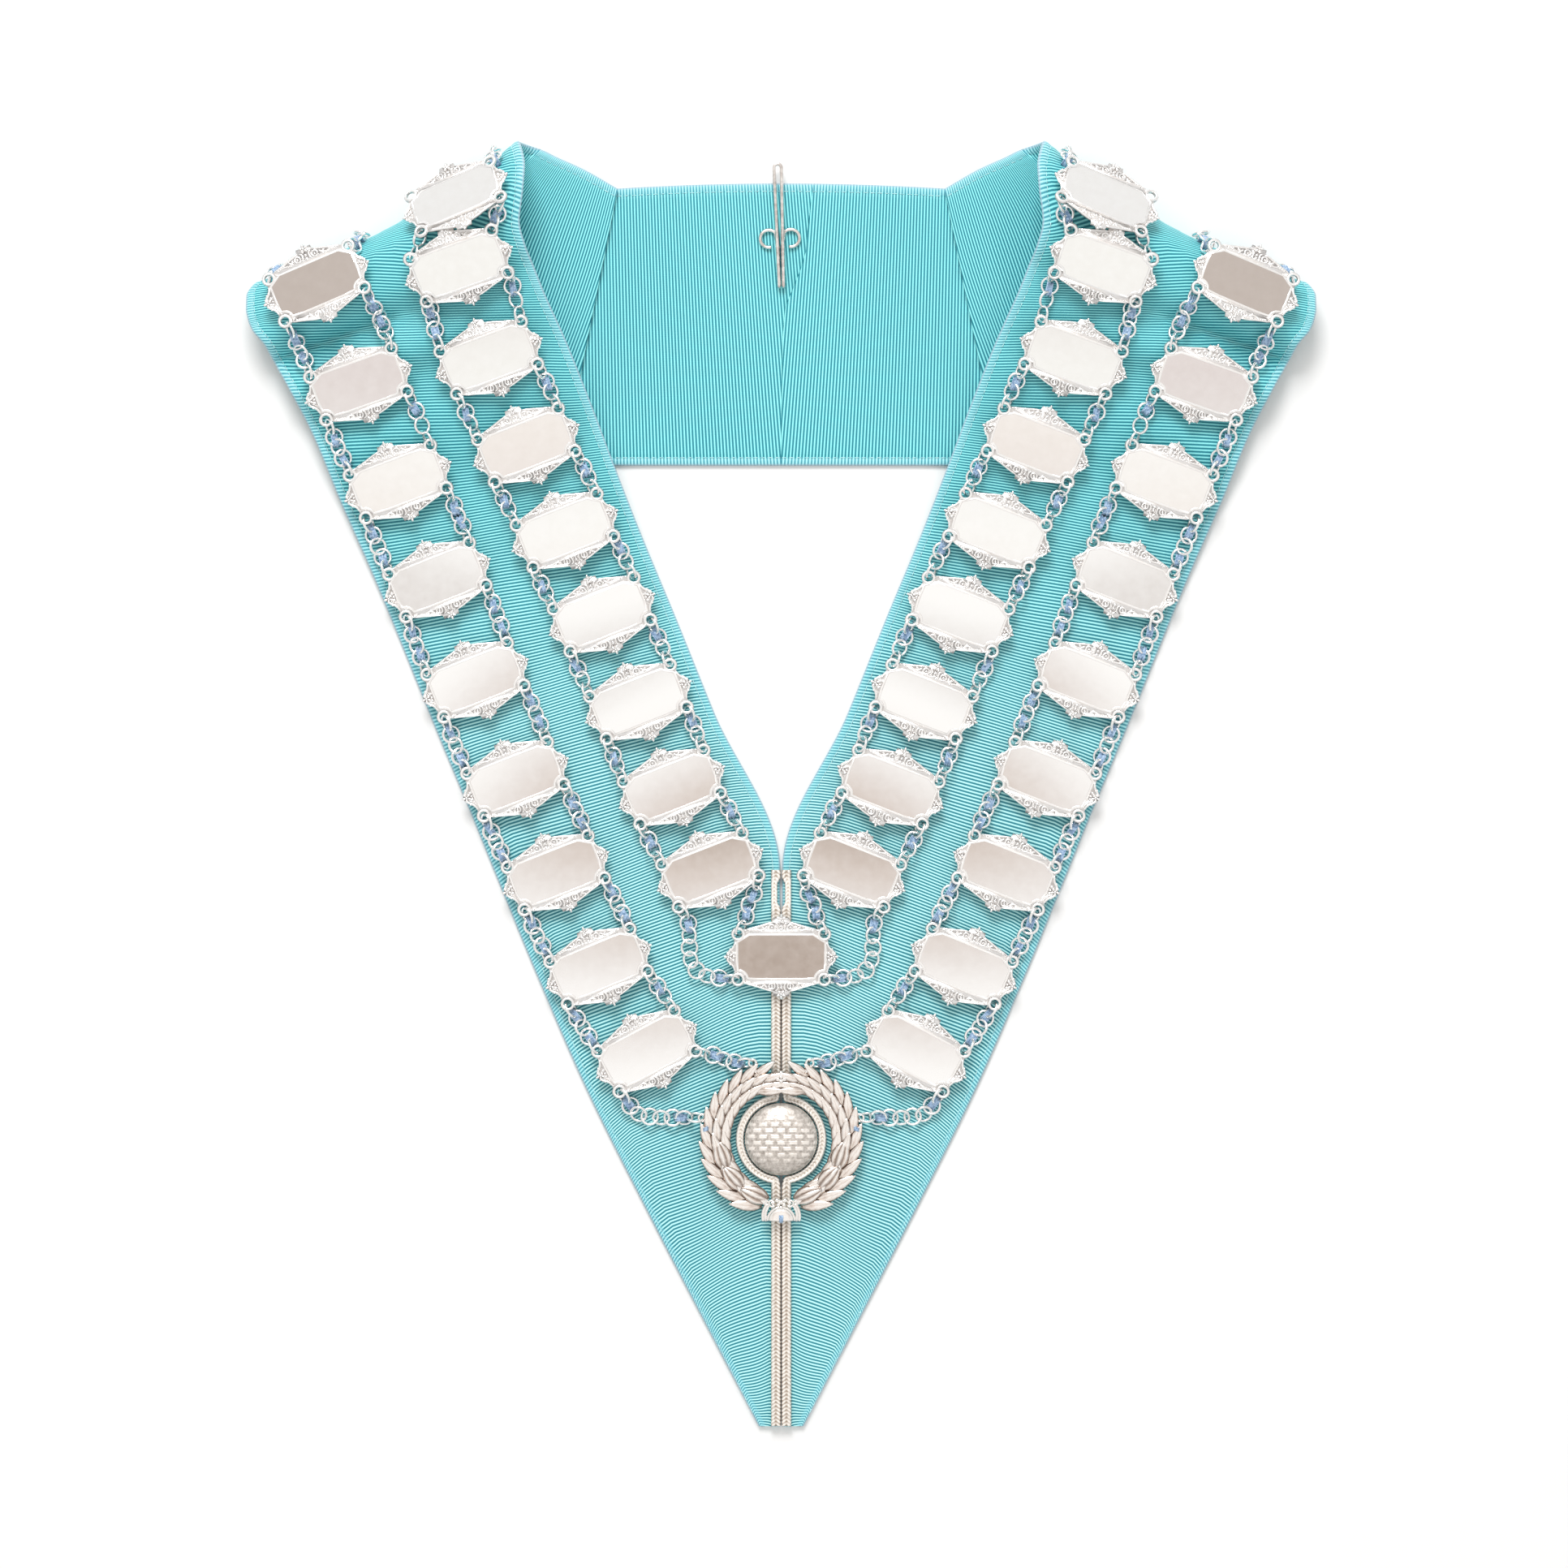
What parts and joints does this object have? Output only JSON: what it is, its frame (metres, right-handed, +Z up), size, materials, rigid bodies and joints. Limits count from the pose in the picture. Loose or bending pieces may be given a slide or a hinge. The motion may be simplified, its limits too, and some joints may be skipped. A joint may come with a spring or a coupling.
{
  "type": "ribbon chain collar",
  "caption": "Regalia collar of wide ribbon that meets in a point, with rows of linked blank plates, a laurel wreath and a covered button.",
  "frame": {"origin": "centre of the footprint on the table under the collar", "axes": "+X across the collar, +Y from the point towards the neck, +Z up from the table"},
  "size_m": [0.4042, 0.4868, 0.0385],
  "materials": {
    "ribbon": "ribbed ribbon, soft sheen",
    "silver": "polished silver plate with cast ornament",
    "chain": "polished silver plated wire",
    "wreath": "satin silver plate, veined leaves",
    "button": "woven metallic thread over a domed form",
    "braid": "metallic braid",
    "steel": "bright wire"
  },
  "bodies": {
    "root": {"ribbon_front_left": "ribbon", "ribbon_front_right": "ribbon", "ribbon_back": "ribbon", "plate_centre": "silver", "plate_outer_left_1": "silver", "plate_outer_left_2": "silver", "plate_outer_left_3": "silver", "plate_outer_left_4": "silver", "plate_outer_left_5": "silver", "plate_outer_left_6": "silver", "plate_outer_left_7": "silver", "plate_outer_left_8": "silver", "plate_outer_left_9": "silver", "plate_outer_right_1": "silver", "plate_outer_right_2": "silver", "plate_outer_right_3": "silver", "plate_outer_right_4": "silver", "plate_outer_right_5": "silver", "plate_outer_right_6": "silver", "plate_outer_right_7": "silver", "plate_outer_right_8": "silver", "plate_outer_right_9": "silver", "plate_inner_left_1": "silver", "plate_inner_left_2": "silver", "plate_inner_left_3": "silver", "plate_inner_left_4": "silver", "plate_inner_left_5": "silver", "plate_inner_left_6": "silver", "plate_inner_left_7": "silver", "plate_inner_left_8": "silver", "plate_inner_left_9": "silver", "plate_inner_right_1": "silver", "plate_inner_right_2": "silver", "plate_inner_right_3": "silver", "plate_inner_right_4": "silver", "plate_inner_right_5": "silver", "plate_inner_right_6": "silver", "plate_inner_right_7": "silver", "plate_inner_right_8": "silver", "plate_inner_right_9": "silver", "chain_outer_row_outer_edge_left": "chain", "chain_outer_row_outer_edge_right": "chain", "chain_outer_row_inner_edge_left": "chain", "chain_outer_row_inner_edge_right": "chain", "chain_inner_row_outer_edge_left": "chain", "chain_inner_row_outer_edge_right": "chain", "chain_inner_row_inner_edge_left": "chain", "chain_inner_row_inner_edge_right": "chain", "wreath": "wreath", "button": "button", "braid_left": "braid", "braid_right": "braid", "hook": "steel"}
  },
  "joints": []
}
